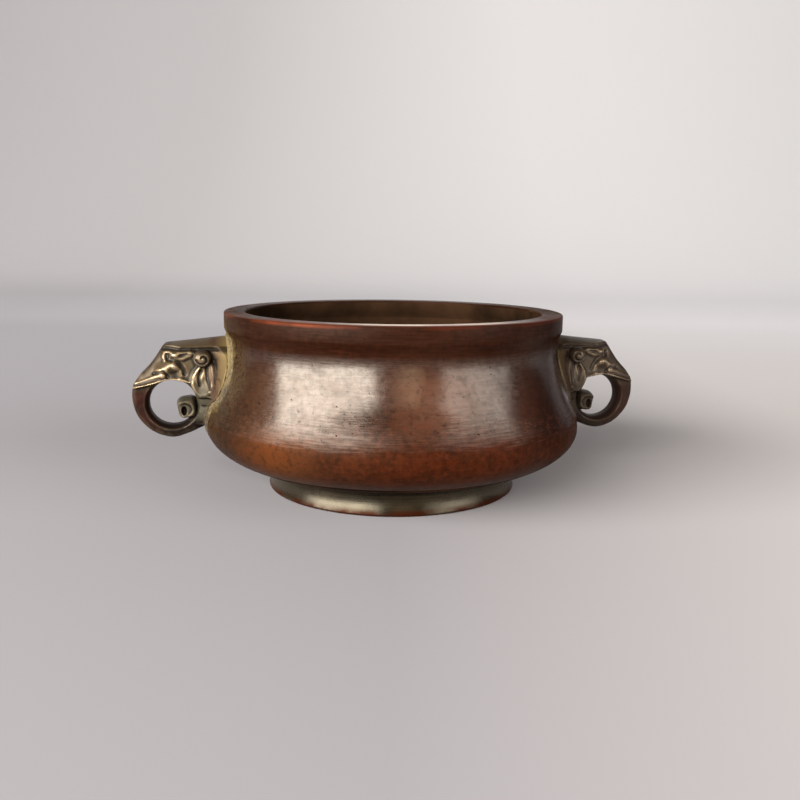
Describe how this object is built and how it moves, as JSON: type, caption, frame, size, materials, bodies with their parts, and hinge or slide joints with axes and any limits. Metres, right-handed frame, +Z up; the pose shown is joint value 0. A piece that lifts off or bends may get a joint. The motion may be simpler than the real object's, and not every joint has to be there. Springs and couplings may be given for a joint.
{
  "type": "incense burner",
  "caption": "Low bellied copper-alloy incense burner with a thick flat lip, elephant-head handles whose trunks curl into finger loops, and a plain foot ring.",
  "frame": {"origin": "centre of the foot ring's underside, on the surface that the burner stands on", "axes": "+Z up along the vessel's axis, +X through the right handle, and the side seen from the front faces -Y"},
  "size_m": [0.1506, 0.11, 0.0518],
  "materials": {
    "bowl_copper": "red-brown patinated copper, rubbed to a soft polish, with fine turning lines round the body and bare copper on the lip's edge",
    "foot_bronze": "olive-brown patinated copper alloy, satin, worn to bare copper along the standing edge",
    "handle_bronze": "dark grey-brown bronze, chased, polished on the high spots and dull in the grooves",
    "braze": "rough ochre and green-yellow braze with verdigris",
    "rivet_copper": "dull dark copper, peened"
  },
  "bodies": {
    "root": {"bowl": "bowl_copper", "foot_ring": "foot_bronze", "foot_braze_seam": "foot_bronze", "left_elephant_handle": "handle_bronze", "right_elephant_handle": "handle_bronze", "left_handle_braze": "braze", "right_handle_braze": "braze", "left_upper_rivet": "rivet_copper", "left_lower_rivet": "rivet_copper", "right_upper_rivet": "rivet_copper", "right_lower_rivet": "rivet_copper"}
  },
  "joints": []
}
